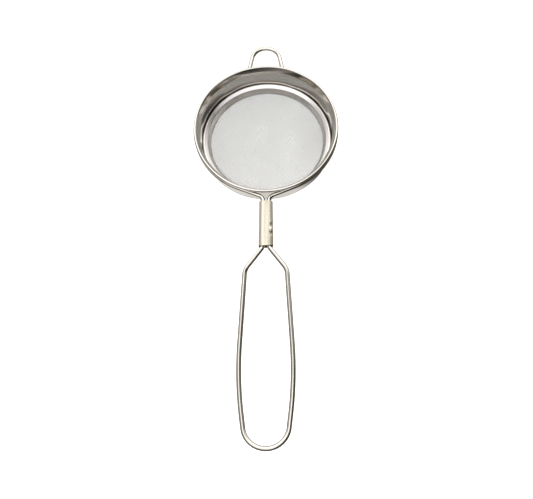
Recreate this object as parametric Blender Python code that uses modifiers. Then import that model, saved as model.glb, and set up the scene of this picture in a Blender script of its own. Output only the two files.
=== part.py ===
"""Tea strainer: a pressed steel cup with a woven wire floor, on a wire frame with a looped wire handle.

The cup stands on its flat bottom lip at Z = 0. The handle runs along -Y and the rest hook along +Y,
and the origin is under the middle of the whole object. Lengths are in metres.

Flat wire outlines are worked out on complex numbers: x is the real part, y the imaginary part.
"""

import cmath
import math

import bmesh
import bpy

MM = 0.001

# ---------------------------------------------------------------- driving dimensions
GAP = 0.3 * MM                    # left between pieces that touch

SHEET = 0.4 * MM                  # cup and retaining ring are pressed from this sheet
CUP_HEIGHT = 17.45 * MM
RIM_RADIUS = 40.0 * MM            # outside of the rolled rim
ROLL_RADIUS = 0.87 * MM           # outside radius of the roll itself, which turns down to level
WALL_RADIUS = 37.1 * MM           # outside of the wall where it starts to flare out to the rim
FLARE_Z = 14.0 * MM
FOOT_RADIUS = 36.6 * MM           # outside of the wall just above its bottom corner
FOOT_BEND = 1.8 * MM              # outside radius of that corner
LIP_RADIUS = 31.6 * MM            # hole in the cup's bottom

WIRE_RADIUS = 1.3 * MM            # frame and handle are bent from the same wire
WIRE_CENTRE_Z = 13.6 * MM         # flat, tucked under the flare and the rolled rim
HOOP_RADIUS = WALL_RADIUS + GAP + WIRE_RADIUS                   # centre line round the cup

HOOK_TOP_RADIUS = 8.0 * MM        # rest hook: round top, legs that spread a little
HOOK_TOP_CENTRE = 45.54 * MM      # from the cup's axis
HOOK_FOOT_RADIUS = 3.2 * MM       # bend where a leg turns into the hoop
HOOK_FOOT_ANGLE = math.radians(72.5)

NECK_HALF_WIDTH = 1.55 * MM       # the hoop's two ends run side by side here
NECK_BEND_RADIUS = 4.0 * MM
NECK_BEND_CENTRE = 43.9 * MM      # from the cup's axis

SLEEVE_START = 44.2 * MM          # from the cup's axis
SLEEVE_END = 70.2 * MM
SLEEVE_WALL = 0.45 * MM
SLEEVE_HALF_HEIGHT = WIRE_RADIUS + GAP + SLEEVE_WALL
SLEEVE_FLAT_START = 1.65 * MM     # half of the flat part of its width, cup end
SLEEVE_FLAT_END = 1.95 * MM       # and handle end

# Corners of the right-hand half of the handle wire: half width, distance from the cup's axis, bend radius.
HANDLE_CORNERS = (
    (1.60 * MM, 70.25 * MM, 4.0 * MM),      # leaves the sleeve
    (10.92 * MM, 82.80 * MM, 9.0 * MM),     # shoulder
    (14.29 * MM, 141.00 * MM, 200.0 * MM),  # the long side bows gently
    (10.01 * MM, 175.35 * MM, 11.3 * MM),   # round end
)

RING_OUTER_RADIUS = 35.95 * MM    # retaining ring: sloping ledge, then a steeper band
RING_OUTER_Z = 4.55 * MM
RING_BEND_RADIUS = 33.5 * MM
RING_BEND_Z = 3.3 * MM
RING_BEND = 0.8 * MM              # radius of the bend between ledge and band
RING_TOE_RADIUS = 32.0 * MM

SCREEN_RADIUS = 34.6 * MM         # woven cloth, clamped between the lip and the ring
SCREEN_THICKNESS = 0.3 * MM
SCREEN_Z = SHEET + GAP            # its underside
RING_TOE_Z = SCREEN_Z + SCREEN_THICKNESS + GAP

TURN_STEPS = 72                   # sides of every turned piece
SLEEVE_STEPS = 24                 # sides of the sleeve
ARC_STEPS = 4                     # in a short bend of a sheet
MERGE = 0.00001

HANDLE_REACH = HANDLE_CORNERS[-1][1] + WIRE_RADIUS
HOOK_REACH = HOOK_TOP_CENTRE + HOOK_TOP_RADIUS + WIRE_RADIUS
CUP_Y = (HANDLE_REACH - HOOK_REACH) / 2


# ---------------------------------------------------------------- scene and materials
def clear_scene():
    for old in list(bpy.data.objects):
        bpy.data.objects.remove(old, do_unlink=True)


def steel(name, colour, roughness):
    material = bpy.data.materials.new(name)
    material.use_nodes = True
    shader = material.node_tree.nodes["Principled BSDF"]
    shader.inputs["Base Color"].default_value = (*colour, 1.0)
    shader.inputs["Metallic"].default_value = 1.0
    shader.inputs["Roughness"].default_value = roughness
    return material


def finish(thing, name, material, collection):
    """Name the object, give it its material, shade it smooth and put it in the collection."""
    thing.name = name
    thing.data.name = name
    thing.data.materials.clear()
    thing.data.materials.append(material)
    for old in list(thing.users_collection):
        old.objects.unlink(thing)
    collection.objects.link(thing)
    if thing.type == "MESH":
        thing.data.shade_smooth()
        thing.data.set_sharp_from_angle(angle=math.radians(40))
    return thing


# ---------------------------------------------------------------- outlines
def arc(centre, radius, start, end, steps):
    """Points on an arc from one angle to another, both ends included."""
    angles = [start + (end - start) * i / steps for i in range(steps + 1)]
    return [centre + cmath.rect(radius, angle) for angle in angles]


def cross_tangent(centre_a, radius_a, centre_b, radius_b):
    """Angle at which a straight run leaves circle a to reach circle b, bending the other way there."""
    between = centre_b - centre_a
    return cmath.phase(between) + math.acos((radius_a + radius_b) / abs(between))


def rounded(points, radii, steps):
    """The polyline through the points, with each inner corner replaced by an arc of its radius."""
    path = [points[0]]
    for before, corner, after, radius in zip(points, points[1:], points[2:], radii):
        way_in = (corner - before) / abs(corner - before)
        way_out = (after - corner) / abs(after - corner)
        turn = cmath.phase(way_out / way_in)
        side = math.copysign(1.0, turn)
        start = corner - way_in * radius * math.tan(abs(turn) / 2)
        centre = start + 1j * side * way_in * radius
        path += [centre + (start - centre) * cmath.rect(1, turn * i / steps) for i in range(steps + 1)]
    return path


def mirrored(right_half):
    """The whole outline: the right-hand half run backwards and mirrored, then the half itself."""
    left_half = [complex(-point.real, point.imag) for point in reversed(right_half)]
    if abs(right_half[0].real) < MERGE:
        left_half.pop()
    return left_half + right_half


def hoop_outline():
    """Hook, hoop and neck of the frame wire, from the top of the hook round to inside the sleeve."""
    hook = 1j * HOOK_TOP_CENTRE
    foot = cmath.rect(HOOP_RADIUS + HOOK_FOOT_RADIUS, HOOK_FOOT_ANGLE)
    neck = complex(NECK_HALF_WIDTH + NECK_BEND_RADIUS, -NECK_BEND_CENTRE)
    leg = cross_tangent(hook, HOOK_TOP_RADIUS, foot, HOOK_FOOT_RADIUS)
    leave = cross_tangent(0j, HOOP_RADIUS, neck, NECK_BEND_RADIUS)
    sleeve_middle = (SLEEVE_START + SLEEVE_END) / 2
    half = arc(hook, HOOK_TOP_RADIUS, math.pi / 2, leg, 7)
    half += arc(foot, HOOK_FOOT_RADIUS, leg + math.pi, HOOK_FOOT_ANGLE + math.pi, 4)
    half += arc(0j, HOOP_RADIUS, HOOK_FOOT_ANGLE, leave, 28)[1:]
    half += arc(neck, NECK_BEND_RADIUS, leave + math.pi, math.pi, 5)
    half.append(complex(NECK_HALF_WIDTH, GAP / 2 - sleeve_middle))
    return mirrored(half)


def handle_outline():
    """The handle loop, from inside the sleeve round its end and back."""
    first_width, _, _ = HANDLE_CORNERS[0]
    start = complex(first_width, -(SLEEVE_START + SLEEVE_END) / 2 - GAP / 2)
    corners = [complex(half_width, -distance) for half_width, distance, _ in HANDLE_CORNERS]
    radii = [radius for _, _, radius in HANDLE_CORNERS]
    end_middle = complex(0, corners[-1].imag)
    half = rounded([start, *corners, end_middle], radii, 7)
    return mirrored(half[::-1])


# ---------------------------------------------------------------- pieces
def wire(name, outline, material, collection):
    """A round wire along a flat outline about the cup's axis."""
    curve = bpy.data.curves.new(name, "CURVE")
    curve.dimensions = "3D"
    curve.bevel_depth = WIRE_RADIUS
    curve.bevel_resolution = 2
    curve.use_fill_caps = True
    spline = curve.splines.new("POLY")
    spline.points.add(len(outline) - 1)
    for target, point in zip(spline.points, outline):
        target.co = (point.real, CUP_Y + point.imag, WIRE_CENTRE_Z, 1.0)
    thing = bpy.data.objects.new(name, curve)
    return finish(thing, name, material, collection)


def turned_sheet(name, profile, material, collection):
    """A sheet turned about the cup's axis. The profile is (radius, height) on the side the normals face."""
    mesh = bpy.data.meshes.new(name)
    edges = [(i, i + 1) for i in range(len(profile) - 1)]
    mesh.from_pydata([(radius, 0.0, height) for radius, height in profile], edges, [])
    thing = bpy.data.objects.new(name, mesh)
    thing.location = (0.0, CUP_Y, 0.0)
    screw = thing.modifiers.new("turn", "SCREW")
    screw.steps = TURN_STEPS
    screw.render_steps = TURN_STEPS
    screw.use_merge_vertices = True
    screw.merge_threshold = MERGE
    solidify = thing.modifiers.new("sheet", "SOLIDIFY")
    solidify.thickness = SHEET
    solidify.offset = -1.0
    solidify.use_even_offset = True
    return finish(thing, name, material, collection)


def cup(material, collection):
    """Outer side of the cup: inside of the rolled rim, flare, wall, bottom corner and the lip's underside."""
    inside = ROLL_RADIUS - SHEET
    roll_centre = complex(RIM_RADIUS - ROLL_RADIUS, CUP_HEIGHT - ROLL_RADIUS)
    flare_foot = complex(WALL_RADIUS, FLARE_Z)
    between = roll_centre - flare_foot
    flare_angle = cmath.phase(between) + math.asin(inside / abs(between))
    roll = arc(roll_centre, inside, 0.0, flare_angle + math.pi / 2, 2 * ARC_STEPS)
    corner = arc(complex(FOOT_RADIUS - FOOT_BEND, FOOT_BEND), FOOT_BEND, 0.0, -math.pi / 2, ARC_STEPS)
    points = [*roll, flare_foot, *corner, complex(LIP_RADIUS, 0.0)]
    return turned_sheet("cup", [(p.real, p.imag) for p in points], material, collection)


def retaining_ring(material, collection):
    """Inner side of the ring, from its toe on the screen up over the bend to its outer edge."""
    toe = complex(RING_TOE_RADIUS, RING_TOE_Z)
    bend = complex(RING_BEND_RADIUS, RING_BEND_Z)
    outer = complex(RING_OUTER_RADIUS, RING_OUTER_Z)
    points = rounded([toe, bend, outer], [RING_BEND], ARC_STEPS) + [outer]
    return turned_sheet("retaining_ring", [(p.real, p.imag) for p in points], material, collection)


def screen(material, collection):
    bpy.ops.mesh.primitive_cylinder_add(
        vertices=TURN_STEPS, radius=SCREEN_RADIUS, depth=SCREEN_THICKNESS,
        location=(0.0, CUP_Y, SCREEN_Z + SCREEN_THICKNESS / 2))
    return finish(bpy.context.object, "mesh_screen", material, collection)


def sleeve(material, collection):
    """A short tube pressed oval over the two pairs of wire ends, a little wider at the handle."""
    length = SLEEVE_END - SLEEVE_START
    bm = bmesh.new()
    bmesh.ops.create_cone(
        bm, cap_ends=False, segments=SLEEVE_STEPS,
        radius1=SLEEVE_HALF_HEIGHT, radius2=SLEEVE_HALF_HEIGHT, depth=length)
    half_step = math.pi / SLEEVE_STEPS
    for vert in bm.verts:
        angle = math.atan2(vert.co.y, vert.co.x) + half_step
        along = vert.co.z / length + 0.5
        flat = SLEEVE_FLAT_START + (SLEEVE_FLAT_END - SLEEVE_FLAT_START) * along
        vert.co.x = SLEEVE_HALF_HEIGHT * math.cos(angle) + math.copysign(flat, math.cos(angle))
        vert.co.y = SLEEVE_HALF_HEIGHT * math.sin(angle)
    mesh = bpy.data.meshes.new("sleeve")
    bm.to_mesh(mesh)
    bm.free()
    thing = bpy.data.objects.new("sleeve", mesh)
    thing.rotation_euler = (math.pi / 2, 0.0, 0.0)
    thing.location = (0.0, CUP_Y - SLEEVE_START - length / 2, WIRE_CENTRE_Z)
    solidify = thing.modifiers.new("wall", "SOLIDIFY")
    solidify.thickness = SLEEVE_WALL
    solidify.offset = -1.0
    solidify.use_even_offset = True
    return finish(thing, "sleeve", material, collection)


def build():
    clear_scene()
    collection = bpy.data.collections.new("tea_strainer")
    bpy.context.scene.collection.children.link(collection)
    cup(steel("polished_sheet_steel", (0.62, 0.60, 0.56), 0.18), collection)
    retaining_ring(steel("pressed_ring_steel", (0.72, 0.69, 0.66), 0.25), collection)
    screen(steel("woven_steel_cloth", (0.66, 0.66, 0.64), 0.45), collection)
    wire("frame_wire", hoop_outline(), steel("frame_wire_steel", (0.66, 0.63, 0.57), 0.15), collection)
    wire("handle_wire", handle_outline(), steel("handle_wire_steel", (0.66, 0.63, 0.57), 0.15), collection)
    sleeve(steel("sleeve_steel", (0.78, 0.75, 0.68), 0.22), collection)


build()
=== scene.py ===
"""Tea strainer, finished surfaces.

Pressed cup and ring, woven wire screen, bent wire frame and handle, squeezed sleeve.
The strainer stands on its cup's foot at Z = 0, handle towards -Y, hook towards +Y. Lengths are in metres.
Outlines and sections are worked out on complex numbers, as arrays: first coordinate real, second imaginary.
"""

import math

import bpy
import numpy as np
from mathutils import Euler, Matrix, Vector


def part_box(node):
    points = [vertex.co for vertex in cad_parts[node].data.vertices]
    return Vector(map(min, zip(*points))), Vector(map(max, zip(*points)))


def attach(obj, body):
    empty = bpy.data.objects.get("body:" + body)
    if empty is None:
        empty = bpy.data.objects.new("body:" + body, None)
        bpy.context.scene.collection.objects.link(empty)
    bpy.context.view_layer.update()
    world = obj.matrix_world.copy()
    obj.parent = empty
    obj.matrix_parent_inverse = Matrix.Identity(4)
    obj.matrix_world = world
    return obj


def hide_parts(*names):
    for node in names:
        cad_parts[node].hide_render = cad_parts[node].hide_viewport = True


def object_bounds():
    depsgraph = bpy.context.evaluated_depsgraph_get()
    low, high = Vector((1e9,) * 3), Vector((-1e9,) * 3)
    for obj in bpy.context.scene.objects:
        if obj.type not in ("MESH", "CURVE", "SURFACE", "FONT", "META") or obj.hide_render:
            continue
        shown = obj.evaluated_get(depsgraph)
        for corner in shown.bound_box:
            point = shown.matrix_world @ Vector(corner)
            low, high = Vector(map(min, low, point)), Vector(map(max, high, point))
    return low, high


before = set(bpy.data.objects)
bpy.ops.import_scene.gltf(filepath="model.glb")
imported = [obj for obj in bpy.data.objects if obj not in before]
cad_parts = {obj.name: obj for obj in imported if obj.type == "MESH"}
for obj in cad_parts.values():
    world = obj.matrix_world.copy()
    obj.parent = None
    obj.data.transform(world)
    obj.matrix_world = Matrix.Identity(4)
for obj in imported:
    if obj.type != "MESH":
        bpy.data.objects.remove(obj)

MM = 0.001


# ---------------------------------------------------------------- sizes taken from the frame
cad_low, cad_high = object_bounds()
cup_low, cup_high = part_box("cup")
wire_low, wire_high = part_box("handle_wire")
frame_low, frame_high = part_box("frame_wire")
sleeve_low, sleeve_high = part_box("sleeve")
screen_low, screen_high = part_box("mesh_screen")
ring_low, ring_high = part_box("retaining_ring")

AXIS_Y = (cup_low[1] + cup_high[1]) / 2             # the cup's axis stands here
CUP_TOP = cup_high[2]
RIM_RADIUS = (cup_high[0] - cup_low[0]) / 2         # outside of the rolled rim
WIRE_RADIUS = (wire_high[2] - wire_low[2]) / 2
WIRE_Z = (wire_high[2] + wire_low[2]) / 2
HOOP_RADIUS = (frame_high[0] - frame_low[0]) / 2 - WIRE_RADIUS
HOOK_REACH = frame_high[1] - AXIS_Y - WIRE_RADIUS   # centre line, from the cup's axis
HANDLE_REACH = AXIS_Y - wire_low[1] - WIRE_RADIUS
SLEEVE_START = AXIS_Y - sleeve_high[1]
SLEEVE_END = AXIS_Y - sleeve_low[1]
SLEEVE_MIDDLE = (SLEEVE_START + SLEEVE_END) / 2
SLEEVE_HALF_HEIGHT = (sleeve_high[2] - sleeve_low[2]) / 2
SCREEN_Z = (screen_low[2] + screen_high[2]) / 2
RING_REACH = (ring_high[0] - ring_low[0]) / 2
RING_TOP = ring_high[2]

# ---------------------------------------------------------------- cup and ring
SHEET = 0.4 * MM                  # thickness of both
ROLL_RADIUS = 0.67 * MM           # rolled rim, to the middle of the sheet
ROLL_CURL = math.radians(-75)     # how far round the free edge goes; 0 is level
WALL_RADIUS = 36.9 * MM           # middle of the sheet where the wall starts to flare out to the rim
FLARE_Z = 14.0 * MM
FLARE_BEND = 2.5 * MM
LIP_RADIUS = 31.6 * MM
FOOT_RADIUS = 36.4 * MM           # middle of the sheet where wall and lip would meet without a bend
FOOT_BEND = 1.6 * MM
CUP_RIPPLE = 0.11 * MM            # how far the pressed wall strays from round
RIPPLE_WAVES = (                  # waves in one turn, height as a share of the ripple, start in radians
    (3, 1.0, 0.7),
    (7, 0.7, 2.1),
    (12, 0.6, 4.0),
    (19, 0.45, 1.3),
)
CUP_SPACING = 0.25 * MM           # between points along the cup's section

RING_TOE = complex(32.0 * MM, 1.15 * MM)      # radius and height of the middle of the sheet
RING_KNEE = complex(33.5 * MM, 3.3 * MM)
RING_KNEE_BEND = 0.8 * MM
RING_SHOULDER_BEND = 0.55 * MM
RING_SKIRT = 1.1 * MM             # turned-down outer edge
RING_SPACING = 0.1 * MM

# ---------------------------------------------------------------- woven screen
WEAVE_PITCH = 0.75 * MM           # real cloth is finer; this is as coarse as it needs to be to show
WEAVE_WIRE = 0.12 * MM            # radius of one wire of the cloth
WEAVE_REACH = 34.2 * MM           # clamped edge, under the ring
WEAVE_TURN = math.radians(11)     # how the cloth happens to lie
WEAVE_SIDES = 5
WEAVE_STEPS = 3                   # to one pitch
WEAVE_SHORTEST = 3                # steps each way; wires shorter than this are left out at the edge

# ---------------------------------------------------------------- wires
WIRE_SIDES = 32
WIRE_SPACING = 0.4 * MM           # between circles along the wire
WIRE_END_GAP = 0.15 * MM          # from the sleeve's middle to the end of either wire
HOOK_TOP_RADIUS = 8.0 * MM
HOOK_FOOT_RADIUS = 3.2 * MM
HOOK_FOOT_ANGLE = math.radians(72.5)
NECK_HALF_WIDTH = 1.55 * MM
NECK_BEND_RADIUS = 4.0 * MM
NECK_BEND_CENTRE = 43.9 * MM
# Corners of the right-hand half of the handle: half width, distance from the cup's axis, bend radius.
HANDLE_CORNERS = (
    (1.60 * MM, 70.25 * MM, 4.0 * MM),
    (10.92 * MM, 82.80 * MM, 9.0 * MM),
    (14.29 * MM, 141.00 * MM, 200.0 * MM),
    (10.01 * MM, HANDLE_REACH, 11.3 * MM),
)

# ---------------------------------------------------------------- sleeve
SLEEVE_WALL = 0.45 * MM
SLEEVE_FLAT_START = 1.65 * MM     # half of the flat part of its width, cup end
SLEEVE_FLAT_END = 1.95 * MM       # and handle end
SLEEVE_ROUND_SIDES = 1.35         # 1 makes the section an oval; more gives it round sides and a flat top
GROOVE_DEPTH = 0.16 * MM          # pressed in between the wires
GROOVE_WIDTH = 1.1 * MM
MARK_ALONG = 16.6 * MM            # pressing tool's mark, from the cup end
MARK_SIDE = 3.0 * MM              # and to the right of the middle
MARK_HEIGHT = 0.24 * MM
MARK_WIDTH = 0.7 * MM
MARK_LENGTH = 2.8 * MM
MARK_PITCH = 5.4 * MM             # from dent to dent
SLEEVE_STEPS = 120                # along each skin
SLEEVE_SIDES = 96

# ---------------------------------------------------------------- fineness of the outlines
ARC_STEPS = 48
HOOP_STEPS = 180                  # for each half of the hoop
TURN_STEPS = 256                  # for the cup and the ring, round the axis
SHEET_EDGE_STEPS = 8              # round a free edge of the sheet
SLEEVE_EDGE_STEPS = 9             # and round an end of the sleeve's wall
ON_AXIS = 1e-9                    # a point nearer the middle line than this is on it


# ---------------------------------------------------------------- outlines
def arc(centre, radius, start, end, steps=ARC_STEPS):
    """Points on an arc: centre plus radius at evenly spaced angles from start to end."""
    return centre + radius * np.exp(1j * np.linspace(start, end, steps + 1))


def cross_tangent(centre_a, radius_a, centre_b, radius_b):
    """Angle at which a straight run leaves circle a for circle b, which it meets on the other side."""
    between = centre_b - centre_a
    return np.angle(between) + math.acos((radius_a + radius_b) / abs(between))


def rounded(points, radii):
    """The polyline through the points, each inner corner swapped for an arc that touches both its runs."""
    path = [np.array([points[0]])]
    for before, corner, after, radius in zip(points, points[1:], points[2:], radii):
        way_in = (corner - before) / abs(corner - before)
        way_out = (after - corner) / abs(after - corner)
        turn = float(np.angle(way_out / way_in))
        side = math.copysign(1.0, turn)
        start = corner - way_in * radius * math.tan(abs(turn) / 2)
        centre = start + 1j * side * way_in * radius
        first = float(np.angle(start - centre))
        path.append(arc(centre, radius, first, first + turn))
    path.append(np.array([points[-1]]))
    return np.concatenate(path)


def evenly(path, spacing):
    """The same line with points evenly spaced along its length."""
    length = np.concatenate([[0.0], np.cumsum(np.abs(np.diff(path)))])
    count = int(math.ceil(length[-1] / spacing)) + 1
    wanted = np.linspace(0.0, length[-1], count)
    return np.interp(wanted, length, path.real) + 1j * np.interp(wanted, length, path.imag)


def mirrored(right_half):
    """The whole outline: the right-hand half run backwards and mirrored, then the half itself."""
    left_half = -np.conj(right_half[::-1])
    if abs(right_half[0].real) < ON_AXIS:
        left_half = left_half[:-1]
    return np.concatenate([left_half, right_half])


def directions(path):
    """Unit direction of the line at each point, from the points either side."""
    step = np.gradient(path)
    return step / np.abs(step)


def sheet_section(path):
    """Closed outline of a sheet: its middle line moved half a thickness each way, with round free edges."""
    side = 1j * directions(path) * SHEET / 2
    half_turn = np.exp(-1j * np.linspace(0, math.pi, SHEET_EDGE_STEPS))[1:-1]
    far_edge = path[-1] + side[-1] * half_turn
    near_edge = path[0] - side[0] * half_turn
    return np.concatenate([path + side, far_edge, (path - side)[::-1], near_edge])


# ---------------------------------------------------------------- surfaces
def piece(name, points, faces, replaced, uv=None):
    """Puts arrays of points and faces into a mesh, rides it on the body and hides the frame part it
    replaces, if any.
    """
    mesh = bpy.data.meshes.new(name)
    corners = np.concatenate([np.asarray(f).ravel() for f in faces])
    sizes = np.concatenate([np.full(len(f), np.asarray(f).shape[1]) for f in faces])
    starts = np.concatenate([[0], np.cumsum(sizes)[:-1]])
    mesh.vertices.add(len(points))
    mesh.vertices.foreach_set("co", np.asarray(points, dtype=np.float32).ravel())
    mesh.loops.add(len(corners))
    mesh.loops.foreach_set("vertex_index", corners.astype(np.int32))
    mesh.polygons.add(len(sizes))
    mesh.polygons.foreach_set("loop_start", starts.astype(np.int32))
    mesh.update(calc_edges=True)
    mesh.polygons.foreach_set("use_smooth", np.ones(len(sizes), dtype=bool))
    if uv is not None:
        layer = mesh.uv_layers.new(name="along")
        layer.data.foreach_set("uv", np.asarray(uv, dtype=np.float32).ravel())
    mesh.validate()
    made = bpy.data.objects.new(name, mesh)
    bpy.context.scene.collection.objects.link(made)
    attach(made, "root")
    if replaced:
        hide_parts(replaced)
    return made


def grid_faces(rows, columns, wrap_rows):
    """Quads of a grid of rows by columns whose columns close into a loop; rows close too if wrap_rows."""
    row = np.arange(rows if wrap_rows else rows - 1)[:, None]
    column = np.arange(columns)[None, :]
    next_row = (row + 1) % rows
    next_column = (column + 1) % columns
    quads = [row * columns + column, next_row * columns + column,
             next_row * columns + next_column, row * columns + next_column]
    return np.stack([np.broadcast_to(q, (len(row), columns)) for q in quads], axis=-1).reshape(-1, 4)


def turned(name, section, replaced, ripple=0.0):
    """A section of (radius, height) swept once round the cup's axis.

    Below the flare the radius also swells and shrinks by the ripple times a sum of sines round the turn.
    That fades to nothing at the foot and at the flare, as the sine of pi times the share of the way up.
    """
    angle = np.linspace(0, 2 * math.pi, TURN_STEPS, endpoint=False)[:, None]
    wave = sum(height * np.sin(count * angle + start) for count, height, start in RIPPLE_WAVES)
    share = np.clip(section.imag / FLARE_Z, 0, 1)
    radius = section.real + ripple * wave * np.sin(math.pi * share)
    level = np.broadcast_to(section.imag, radius.shape)
    points = np.stack([radius * np.cos(angle), AXIS_Y + radius * np.sin(angle), level], axis=-1)
    faces = grid_faces(TURN_STEPS, len(section), True)
    return piece(name, points.reshape(-1, 3), [faces], replaced)


def tube(path, height, radius, sides):
    """Round wire along a line: circles set square to the line, closed by a flat cap at each end.

    path is complex, as seen from above, and height is how high the line is at each of its points.
    Returns points, a list of face arrays and UV corners: U along the wire and V round it, both in metres.
    """
    along = directions(path)[:, None]
    slope = np.arctan(np.gradient(height) / np.abs(np.gradient(path)))[:, None]
    turn = np.linspace(0, 2 * math.pi, sides, endpoint=False)[None, :] - math.pi / 2
    across = radius * np.cos(turn)
    upward = radius * np.sin(turn)
    flat = path[:, None] + along * (-1j * across - np.sin(slope) * upward)
    top = height[:, None] + np.cos(slope) * upward
    points = np.stack([flat.real, AXIS_Y + flat.imag, top], axis=-1).reshape(-1, 3)

    rows = len(path)
    faces = grid_faces(rows, sides, False)
    first_cap = np.arange(sides)[None, :]
    last_cap = (np.arange(sides)[::-1] + (rows - 1) * sides)[None, :]

    length = np.concatenate([[0.0], np.cumsum(np.abs(np.diff(path)))])
    girth = np.arange(sides + 1) * 2 * math.pi * radius / sides
    u = np.stack([length[:-1], length[1:], length[1:], length[:-1]], axis=-1)[:, None, :]
    v = np.stack([girth[:-1], girth[:-1], girth[1:], girth[1:]], axis=-1)[None, :, :]
    skin_uv = np.stack(np.broadcast_arrays(u, v), axis=-1).reshape(-1, 2)
    cap_uv = np.zeros((2 * sides, 2))
    return points, [faces, first_cap, last_cap], np.concatenate([skin_uv, cap_uv])


def wire(name, outline, replaced):
    """A level bent wire that follows the outline."""
    path = evenly(outline, WIRE_SPACING)
    points, faces, uv = tube(path, np.full(len(path), WIRE_Z), WIRE_RADIUS, WIRE_SIDES)
    return piece(name, points, faces, replaced, uv)


# ---------------------------------------------------------------- cup and ring
def cup_shell():
    """Lip, foot bend, wall, a flare and a rim rolled outwards and down over the hoop."""
    roll_centre = complex(RIM_RADIUS - SHEET / 2 - ROLL_RADIUS, CUP_TOP - SHEET / 2 - ROLL_RADIUS)
    lip = complex(LIP_RADIUS + SHEET / 2, SHEET / 2)
    foot = complex(FOOT_RADIUS, SHEET / 2)
    flare_foot = complex(WALL_RADIUS, FLARE_Z)
    between = roll_centre - flare_foot
    flare_angle = float(np.angle(between)) + math.asin(ROLL_RADIUS / abs(between))
    roll = arc(roll_centre, ROLL_RADIUS, flare_angle + math.pi / 2, ROLL_CURL)
    wall = rounded([lip, foot, flare_foot, roll[0]], [FOOT_BEND, FLARE_BEND])
    path = evenly(np.concatenate([wall, roll[1:]]), CUP_SPACING)
    return turned("cup_shell", sheet_section(path), "cup", ripple=CUP_RIPPLE)


def ring_shell():
    """Toe on the screen, steep band, knee, sloping ledge and a turned-down outer edge."""
    shoulder = complex(RING_REACH - SHEET / 2, RING_TOP - SHEET / 2)
    skirt = shoulder - 1j * RING_SKIRT
    corners = rounded([RING_TOE, RING_KNEE, shoulder, skirt], [RING_KNEE_BEND, RING_SHOULDER_BEND])
    path = evenly(corners, RING_SPACING)
    return turned("ring_shell", sheet_section(path), "retaining_ring")


# ---------------------------------------------------------------- woven screen
def cloth(name, quarter_turn, replaced):
    """One set of the cloth's wires, side by side and cut to a round.

    Each wire goes over and under the ones that cross it, so its height is a cosine along it, and the next
    wire is half a wave behind.
    """
    spacing = WEAVE_PITCH / WEAVE_STEPS
    count = int(WEAVE_REACH / WEAVE_PITCH)
    points = []
    skins = []
    caps = []
    start = 0
    for number in range(-count, count + 1):
        offset = number * WEAVE_PITCH
        reach = math.sqrt(WEAVE_REACH**2 - offset**2)
        half_count = int(reach / spacing)
        if half_count < WEAVE_SHORTEST:
            continue
        along = np.arange(-half_count, half_count + 1) * spacing
        phase = math.pi * (along / WEAVE_PITCH + number + (1 if quarter_turn else 0))
        height = SCREEN_Z + WEAVE_WIRE * np.cos(phase)
        path = (offset + 1j * along) * np.exp(1j * WEAVE_TURN) * (1j if quarter_turn else 1)
        wire_points, (skin, first_cap, last_cap), _ = tube(path, height, WEAVE_WIRE, WEAVE_SIDES)
        points.append(wire_points)
        skins.append(skin + start)
        caps += [first_cap + start, last_cap + start]
        start += len(wire_points)
    faces = [np.concatenate(skins), np.concatenate(caps)]
    return piece(name, np.concatenate(points), faces, replaced)


# ---------------------------------------------------------------- wires
def hoop_outline():
    """Hook, hoop and neck of the frame wire, from one end inside the sleeve round to the other."""
    hook = 1j * (HOOK_REACH - HOOK_TOP_RADIUS)
    foot = (HOOP_RADIUS + HOOK_FOOT_RADIUS) * np.exp(1j * HOOK_FOOT_ANGLE)
    neck = complex(NECK_HALF_WIDTH + NECK_BEND_RADIUS, -NECK_BEND_CENTRE)
    leg = cross_tangent(hook, HOOK_TOP_RADIUS, foot, HOOK_FOOT_RADIUS)
    leave = cross_tangent(0j, HOOP_RADIUS, neck, NECK_BEND_RADIUS)
    inside = complex(NECK_HALF_WIDTH, WIRE_END_GAP - SLEEVE_MIDDLE)
    half = np.concatenate([
        arc(hook, HOOK_TOP_RADIUS, math.pi / 2, leg),
        arc(foot, HOOK_FOOT_RADIUS, leg + math.pi, HOOK_FOOT_ANGLE + math.pi),
        arc(0j, HOOP_RADIUS, HOOK_FOOT_ANGLE, leave, HOOP_STEPS)[1:],
        arc(neck, NECK_BEND_RADIUS, leave + math.pi, math.pi),
        [inside],
    ])
    return mirrored(half)


def handle_outline():
    """The handle loop, from inside the sleeve round its end and back."""
    first_width, _, _ = HANDLE_CORNERS[0]
    start = complex(first_width, -SLEEVE_MIDDLE - WIRE_END_GAP)
    corners = [complex(half_width, -distance) for half_width, distance, _ in HANDLE_CORNERS]
    radii = [radius for _, _, radius in HANDLE_CORNERS]
    half = rounded([start, *corners, complex(0, corners[-1].imag)], radii)
    return mirrored(half[::-1])


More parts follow.
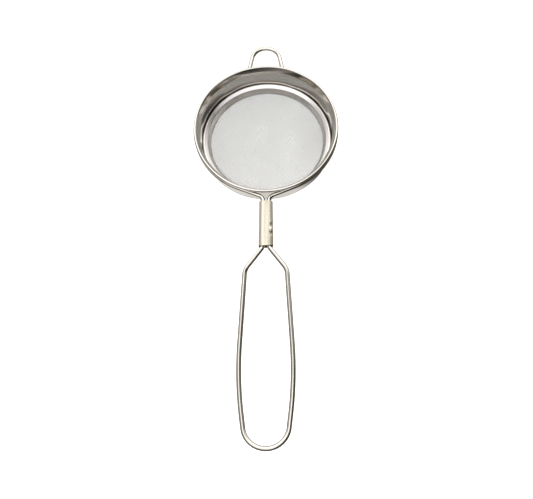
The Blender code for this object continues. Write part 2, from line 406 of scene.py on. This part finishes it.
# ---------------------------------------------------------------- sleeve
def sleeve_tube():
    """A tube squeezed flat over the wires: a round-sided section carried along, outside and back inside.

    Half width is the sides' radius plus a flat part that widens towards the handle. Top and bottom are
    pressed in between the wires, as a bell curve across and the root of a sine along. The pressing tool has
    left a low bump between two dents on the top's right-hand edge: a bell curve each way, times a cosine
    along.
    """
    length = SLEEVE_END - SLEEVE_START
    edge = SLEEVE_WALL / 2
    skin = np.linspace(edge, length - edge, SLEEVE_STEPS)
    lip = np.linspace(0, math.pi, SLEEVE_EDGE_STEPS)[1:-1]
    along = np.concatenate([
        skin, length - edge + edge * np.sin(lip),
        skin[::-1], edge - edge * np.sin(lip)])[:, None]
    depth = np.concatenate([
        np.zeros(len(skin)), edge - edge * np.cos(lip),
        np.full(len(skin), SLEEVE_WALL), edge + edge * np.cos(lip)])[:, None]
    turn = np.linspace(0, 2 * math.pi, SLEEVE_SIDES, endpoint=False)[None, :]

    share = along / length
    flat = SLEEVE_FLAT_START + (SLEEVE_FLAT_END - SLEEVE_FLAT_START) * share
    radius = SLEEVE_HALF_HEIGHT - depth
    x = radius * np.cos(turn) + flat * np.clip(SLEEVE_ROUND_SIDES * np.cos(turn), -1, 1)
    z = radius * np.sin(turn)
    groove = GROOVE_DEPTH * np.exp(-(x / GROOVE_WIDTH) ** 2) * np.sin(math.pi * np.clip(share, 0, 1)) ** 0.5
    z = z - np.sign(z) * groove
    from_mark = along - MARK_ALONG
    bump = MARK_HEIGHT * np.exp(-((x - MARK_SIDE) / MARK_WIDTH) ** 2 - (from_mark / MARK_LENGTH) ** 2)
    z = z + np.where(z > 0, bump * np.cos(2 * math.pi * from_mark / MARK_PITCH), 0)

    y = np.broadcast_to(AXIS_Y - SLEEVE_START - along, x.shape)
    points = np.stack([x, y, WIRE_Z + z], axis=-1).reshape(-1, 3)
    faces = grid_faces(len(along), SLEEVE_SIDES, True)[:, ::-1]
    return piece("sleeve_tube", points, [faces], "sleeve")


# ---------------------------------------------------------------- nodes
def linear(colour):
    """An sRGB hex colour as linear red, green, blue and alpha."""
    parts = [int(colour[i:i + 2], 16) / 255 for i in (1, 3, 5)]
    return [p / 12.92 if p <= 0.04045 else ((p + 0.055) / 1.055) ** 2.4 for p in parts] + [1.0]


def add(tree, kind, inputs=None, **settings):
    """Adds a node, sets its settings, and gives each named input a value or a link from another socket."""
    made = tree.nodes.new(kind)
    for name, value in settings.items():
        setattr(made, name, value)
    for name, value in (inputs or {}).items():
        if isinstance(value, bpy.types.NodeSocket):
            tree.links.new(value, made.inputs[name])
        else:
            made.inputs[name].default_value = value
    return made


def new_material(name):
    """A material with an empty node tree and its output node."""
    material = bpy.data.materials.new(name)
    material.use_nodes = True
    material.node_tree.nodes.clear()
    return material, material.node_tree, material.node_tree.nodes.new("ShaderNodeOutputMaterial")


def dress(thing, material):
    """Gives a piece its one material."""
    thing.data.materials.clear()
    thing.data.materials.append(material)


# ---------------------------------------------------------------- marks in the steel
def spun_marks(line_mm):
    """Fine rings round the cup's axis, as a press die leaves them: noise read at (radius, height)."""
    def marks(tree):
        place = add(tree, "ShaderNodeTexCoord").outputs["Object"]
        to_axis = (0.0, -AXIS_Y, 0.0)
        centred = add(tree, "ShaderNodeMapping", {"Vector": place, "Location": to_axis}).outputs[0]
        apart = add(tree, "ShaderNodeSeparateXYZ", {0: centred})
        flat = add(tree, "ShaderNodeCombineXYZ", {0: apart.outputs[0], 1: apart.outputs[1]}).outputs[0]
        radius = add(tree, "ShaderNodeVectorMath", {0: flat}, operation="LENGTH").outputs["Value"]
        across = add(tree, "ShaderNodeCombineXYZ", {0: radius, 1: apart.outputs[2]}).outputs[0]
        noise = {"Vector": across, "Scale": 1 / (line_mm * MM), "Detail": 4.0}
        return add(tree, "ShaderNodeTexNoise", noise).outputs["Fac"]
    return marks


def drawn_marks(line_mm, run_mm):
    """Fine lines along a wire, as the drawing die leaves: noise stretched along the piece's own UV."""
    def marks(tree):
        place = add(tree, "ShaderNodeTexCoord").outputs["UV"]
        stretch = (1 / (run_mm * MM), 1 / (line_mm * MM), 1.0)
        stretched = add(tree, "ShaderNodeMapping", {"Vector": place, "Scale": stretch}).outputs[0]
        noise = {"Vector": stretched, "Scale": 1.0, "Detail": 3.0}
        return add(tree, "ShaderNodeTexNoise", noise).outputs["Fac"]
    return marks


def grain_marks(size_mm, run):
    """Small grain, run times as long along Y as across, as rolling and pressing leave it."""
    def marks(tree):
        place = add(tree, "ShaderNodeTexCoord").outputs["Object"]
        stretch = (1.0, 1 / run, 1.0)
        stretched = add(tree, "ShaderNodeMapping", {"Vector": place, "Scale": stretch}).outputs[0]
        noise = {"Vector": stretched, "Scale": 1 / (size_mm * MM), "Detail": 3.0}
        return add(tree, "ShaderNodeTexNoise", noise).outputs["Fac"]
    return marks


# ---------------------------------------------------------------- materials
MARKS_LOW, MARKS_HIGH = 0.1, 0.45     # usual range of the marks times the haze


def steel(name, light, dark, marks, roughness, spread, bump_mm, patches_mm):
    """Stainless steel: metallic, with marks that change its roughness, tint and, very slightly, its height.

    marks(tree) gives the socket with the surface's own pattern, from 0 to 1. Roughness strays from its
    middle value by the spread. patches_mm is the size of the slow change from cleaner to hazier steel that
    handling and rolling leave.
    """
    material, tree, out = new_material(name)
    pattern = marks(tree)
    place = add(tree, "ShaderNodeTexCoord").outputs["Object"]
    noise = {"Vector": place, "Scale": 1 / (patches_mm * MM), "Detail": 3.0}
    haze = add(tree, "ShaderNodeTexNoise", noise).outputs["Fac"]
    both = add(tree, "ShaderNodeMath", {0: pattern, 1: haze}, operation="MULTIPLY").outputs[0]
    rough = add(tree, "ShaderNodeMapRange", {
        "Value": both, "From Min": MARKS_LOW, "From Max": MARKS_HIGH,
        "To Min": roughness - spread, "To Max": roughness + spread})
    tint = add(tree, "ShaderNodeMix", {0: both, 6: linear(light), 7: linear(dark)}, data_type="RGBA")
    bump = add(tree, "ShaderNodeBump", {"Height": pattern, "Strength": 1.0, "Distance": bump_mm * MM})
    shader = add(tree, "ShaderNodeBsdfPrincipled", {
        "Base Color": tint.outputs[2], "Metallic": 1.0,
        "Roughness": rough.outputs[0], "Normal": bump.outputs[0]})
    tree.links.new(shader.outputs[0], out.inputs["Surface"])
    return material


def polished_sheet():
    """Bright sheet with faint rings: near-mirror streaks on the wall, a white line along the rolled rim."""
    return steel("polished_stainless_sheet", "#CECAC4", "#B8B4AD", spun_marks(line_mm=0.25),
                 roughness=0.07, spread=0.03, bump_mm=0.002, patches_mm=20)


def pressed_sheet():
    """Satin from the press: broad soft white on the sloping ledge, with no clear reflections."""
    return steel("pressed_stainless_sheet", "#E4E0DD", "#D4D0CD", spun_marks(line_mm=0.2),
                 roughness=0.30, spread=0.06, bump_mm=0.002, patches_mm=15)


def woven_wire():
    """Dull thin wires: an even pale grey with a slightly cloudy, sparkling grain."""
    return steel("woven_stainless_wire", "#EEF0EE", "#868886", grain_marks(size_mm=0.3, run=1.0),
                 roughness=0.32, spread=0.08, bump_mm=0.001, patches_mm=8)


def drawn_wire():
    """Drawn wire: one sharp white line along it between darker flanks, with fine lines lengthwise."""
    return steel("drawn_stainless_wire", "#D2CEC6", "#C1BDB4", drawn_marks(line_mm=0.12, run_mm=6.0),
                 roughness=0.08, spread=0.03, bump_mm=0.001, patches_mm=20)


def rolled_tube():
    """Rolled tube, warmer and duller than the wire: a soft cream band with long grain."""
    return steel("rolled_stainless_tube", "#C3BCAD", "#B0A99B", grain_marks(size_mm=0.15, run=12.0),
                 roughness=0.2, spread=0.05, bump_mm=0.002, patches_mm=10)


# ---------------------------------------------------------------- stage, lights and camera
FLOOR_SIZE = 30.0
# A fade is a smooth step: where it starts and ends, and its value at either end.
# Painted glow that the eye sees in the floor, lifting it towards white, by distance from the cup's axis:
# less of it under the bowl, as painted shade there.
SHADE_FADE = (WALL_RADIUS - 3 * MM, WALL_RADIUS, 0.5, 0.9)
# Painted light that the steel sees in the floor: a glowing pool round the bowl, less of it under the bowl
# as painted shade, none on the right as painted shadow.
POOL_FADE = (50 * MM, 95 * MM, 0.95, 0.0)
POOL_FOOT_FADE = (WALL_RADIUS - 0.5 * MM, WALL_RADIUS + 1 * MM, 0.5, 1.0)
POOL_RIGHT_FADE = (16 * MM, 32 * MM, 1.0, 0.0)
# The room's brightness, by direction: left to right, the share kept in front, and where behind starts.
ROOM_SIDE_FADE = (-0.6, 0.4, 0.42, 0.07)
ROOM_FRONT_FADE = (-0.5, 0.0, 0.55, 1.0)
ROOM_BACK_FADE = (0.2, 0.6, 0.0, 1.0)
ROOM_BACK = 1.2
PANEL_COLOUR = "#FEFEFF"
CAMERA_SENSOR = 36.0              # millimetres, as is the lens
CAMERA_LENS = 62.19
CAMERA_DISTANCE = 0.480
CAMERA_HEIGHT_ANGLE = math.radians(67.14)
CAMERA_SIDE_ANGLE = math.radians(5.81)
CAMERA_ROLL = math.radians(-6.32)
CAMERA_AIM = (0.37 * MM, -72.39 * MM, 15.1 * MM)    # from the cup's axis


def floor():
    """A plain pale tabletop, lifted towards white for the eye by a painted glow, with less of it under the
    bowl as painted shade.

    In the steel's reflections it is a dull darker grey, painted darker than the eye sees it, but for a
    painted pool of light round the bowl that ends on the right in painted shadow.
    """
    bpy.ops.mesh.primitive_plane_add(size=FLOOR_SIZE, location=(0.0, 0.0, cad_low[2]))
    plane = bpy.context.object
    plane.name = "tabletop"
    material, tree, out = new_material("matt_white_board_painted_glow")
    path = add(tree, "ShaderNodeLightPath")
    here = add(tree, "ShaderNodeTexCoord").outputs["Object"]
    side = add(tree, "ShaderNodeSeparateXYZ", {0: here}).outputs[0]
    from_axis = {0: here, 1: (0.0, AXIS_Y, 0.0)}
    reach = add(tree, "ShaderNodeVectorMath", from_axis, operation="DISTANCE").outputs["Value"]
    # Painted light: a glow that lifts the floor for the eye, with painted shade under the bowl, and a
    # painted pool of light for the steel, with painted shade under the bowl and painted shadow on the
    # right.
    shade, painted_pool, foot, right = [
        add(tree, "ShaderNodeMapRange", {
            "Value": value, "From Min": start, "From Max": end, "To Min": low, "To Max": high,
        }, interpolation_type="SMOOTHSTEP").outputs[0]
        for value, (start, end, low, high) in (
            (reach, SHADE_FADE), (reach, POOL_FADE), (reach, POOL_FOOT_FADE), (side, POOL_RIGHT_FADE))]
    for part in (foot, right):
        painted_pool = add(tree, "ShaderNodeMath", {0: painted_pool, 1: part}, operation="MULTIPLY").outputs[0]
    in_steel = path.outputs["Is Glossy Ray"]
    to_eye = path.outputs["Is Camera Ray"]
    # Painted reflection: the floor is a darker grey to the steel than to the eye.
    colours = {0: in_steel, 6: linear("#F6F5F3"), 7: linear("#7C766C")}
    colour = add(tree, "ShaderNodeMix", colours, data_type="RGBA").outputs[2]
    lift = add(tree, "ShaderNodeMath", {0: to_eye, 1: shade}, operation="MULTIPLY").outputs[0]
    # The floor glows by this amount though it is no lamp: painted light.
    painted_glow = add(tree, "ShaderNodeMath", {0: in_steel, 1: painted_pool, 2: lift}, operation="MULTIPLY_ADD").outputs[0]
    shader = add(tree, "ShaderNodeBsdfPrincipled", {
        "Base Color": colour, "Roughness": 0.9, "Specular IOR Level": 0.0,
        "Emission Color": linear("#FFFFFF"), "Emission Strength": painted_glow})
    tree.links.new(shader.outputs[0], out.inputs["Surface"])
    dress(plane, material)


def softbox(name, centre, width, depth, brightness):
    """A soft panel facing the strainer. brightness is what a perfect mirror would show of it."""
    light = bpy.data.lights.new(name, "AREA")
    light.shape = "RECTANGLE"
    light.size = width
    light.size_y = depth
    light.energy = brightness * math.pi * width * depth
    light.color = linear(PANEL_COLOUR)[:3]
    lamp = bpy.data.objects.new(name, light)
    lamp.location = centre
    lamp.rotation_mode = "QUATERNION"
    lamp.rotation_quaternion = Vector(centre).to_track_quat("Z", "Y")
    lamp.visible_camera = False
    bpy.context.scene.collection.objects.link(lamp)


def surroundings():
    """The room: bright behind, middling to the left, dark to the right, and plain white to the eye."""
    world = bpy.data.worlds.new("studio")
    world.use_nodes = True
    tree = world.node_tree
    tree.nodes.clear()
    way = add(tree, "ShaderNodeSeparateXYZ", {0: add(tree, "ShaderNodeTexCoord").outputs["Generated"]})
    rightward, backward, _ = way.outputs
    side, front, back = [
        add(tree, "ShaderNodeMapRange", {
            "Value": value, "From Min": start, "From Max": end, "To Min": low, "To Max": high,
        }, interpolation_type="SMOOTHSTEP").outputs[0]
        for value, (start, end, low, high) in (
            (rightward, ROOM_SIDE_FADE), (backward, ROOM_FRONT_FADE), (backward, ROOM_BACK_FADE))]
    near = add(tree, "ShaderNodeMath", {0: side, 1: front}, operation="MULTIPLY").outputs[0]
    level = add(tree, "ShaderNodeMix", {0: back, 2: near, 3: ROOM_BACK}, data_type="FLOAT").outputs[0]
    room = add(tree, "ShaderNodeBackground", {"Color": linear("#FBF8F4"), "Strength": level}).outputs[0]
    plain = add(tree, "ShaderNodeBackground", {"Color": linear("#FFFFFF"), "Strength": 1.0}).outputs[0]
    eye = add(tree, "ShaderNodeLightPath").outputs["Is Camera Ray"]
    shown = add(tree, "ShaderNodeMixShader", {0: eye, 1: room, 2: plain}).outputs[0]
    add(tree, "ShaderNodeOutputWorld", {"Surface": shown})
    bpy.context.scene.world = world


def camera():
    """Stands in front of and above the strainer, turned a little and leaning a little."""
    data = bpy.data.cameras.new("camera")
    data.sensor_width = CAMERA_SENSOR
    data.lens = CAMERA_LENS
    data.clip_start = 0.01
    data.clip_end = 100.0
    eye = bpy.data.objects.new("camera", data)
    facing = Euler((math.pi / 2 - CAMERA_HEIGHT_ANGLE, 0.0, CAMERA_SIDE_ANGLE), "XYZ").to_matrix()
    lean = Matrix.Rotation(CAMERA_ROLL, 3, "Z")
    eye.rotation_mode = "QUATERNION"
    eye.rotation_quaternion = (facing @ lean).to_quaternion()
    aim = Vector((0.0, AXIS_Y, 0.0)) + Vector(CAMERA_AIM)
    eye.location = aim + facing @ Vector((0, 0, CAMERA_DISTANCE))
    bpy.context.scene.collection.objects.link(eye)
    bpy.context.scene.camera = eye


def main():
    """Sets the stage, then makes and dresses every piece."""
    camera()
    floor()
    surroundings()
    softbox("overhead", centre=(-0.15, -0.4, 1.5), width=1.9, depth=2.0, brightness=1.5)
    softbox("behind", centre=(-0.1, 1.12, 1.54), width=1.9, depth=0.95, brightness=1.3)
    bpy.context.scene.view_settings.view_transform = "Standard"

    dress(cup_shell(), polished_sheet())
    dress(ring_shell(), pressed_sheet())
    cloth_steel = woven_wire()
    dress(cloth("screen_warp", False, "mesh_screen"), cloth_steel)
    dress(cloth("screen_weft", True, None), cloth_steel)
    wire_steel = drawn_wire()
    dress(wire("frame_wire_drawn", hoop_outline(), "frame_wire"), wire_steel)
    dress(wire("handle_wire_drawn", handle_outline(), "handle_wire"), wire_steel)
    dress(sleeve_tube(), rolled_tube())


main()
